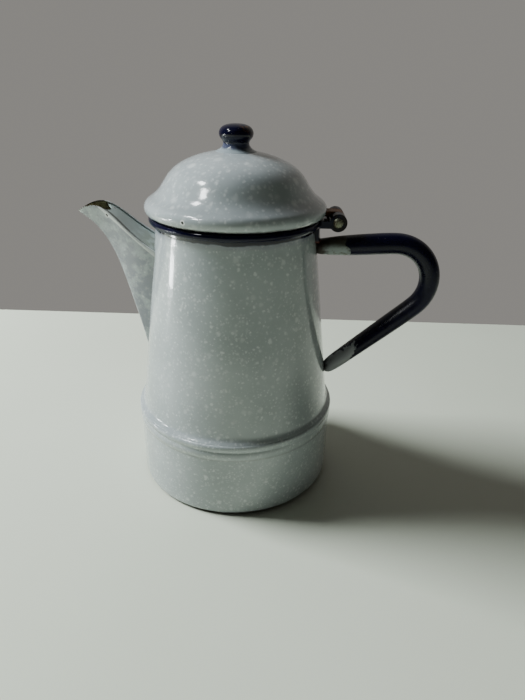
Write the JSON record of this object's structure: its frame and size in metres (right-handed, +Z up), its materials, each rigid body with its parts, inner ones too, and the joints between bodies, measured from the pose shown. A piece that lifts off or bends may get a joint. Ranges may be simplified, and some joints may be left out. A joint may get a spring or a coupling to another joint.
{
  "type": "teapot infuser",
  "caption": "Enamelled steel pot with a hinged domed lid, V-shaped spout and tube handle, and an assumed lift-out perforated infuser basket with a folding bail.",
  "frame": {"origin": "centre of the flat underside the pot stands on", "axes": "+Z up along the pot's axis; +X towards the handle and lid hinge; the spout points to -X"},
  "size_m": [0.1885, 0.1116, 0.1922],
  "materials": {
    "speckled_enamel": "glossy pale blue-grey enamel with off-white speckles",
    "cobalt_enamel": "glossy dark cobalt enamel, worn at the ends",
    "worn_steel": "rusted and stained steel",
    "stainless_steel": "satin stainless steel"
  },
  "bodies": {
    "pot": {"body_cone": "speckled_enamel", "body_base": "speckled_enamel", "rim_roll": "cobalt_enamel", "spout_shell": "speckled_enamel", "spout_strip": "speckled_enamel", "handle": "cobalt_enamel", "hinge_bracket": "cobalt_enamel", "hinge_pin": "worn_steel"},
    "lid": {"lid_dome": "speckled_enamel", "lid_collar": "speckled_enamel", "lid_knob": "cobalt_enamel", "lid_leaf": "worn_steel"},
    "basket": {"infuser_wall": "stainless_steel", "infuser_floor": "stainless_steel", "infuser_rim": "stainless_steel", "infuser_ears": "stainless_steel"},
    "bail": {"infuser_bail": "stainless_steel"}
  },
  "joints": [
    {"name": "lid_hinge", "type": "hinge", "parent": "pot", "child": "lid", "pos_m": [0.051, 0, 0.1485], "axis": [0, 1, 0], "range_deg": [0, 115]},
    {"name": "basket_lift", "type": "slide", "parent": "pot", "child": "basket", "axis": [0, 0, 1], "range_m": [0, 0.0045]},
    {"name": "bail_swing", "type": "hinge", "parent": "basket", "child": "bail", "pos_m": [0, 0, 0.133], "axis": [0, -1, 0], "range_deg": [0, 180]}
  ]
}
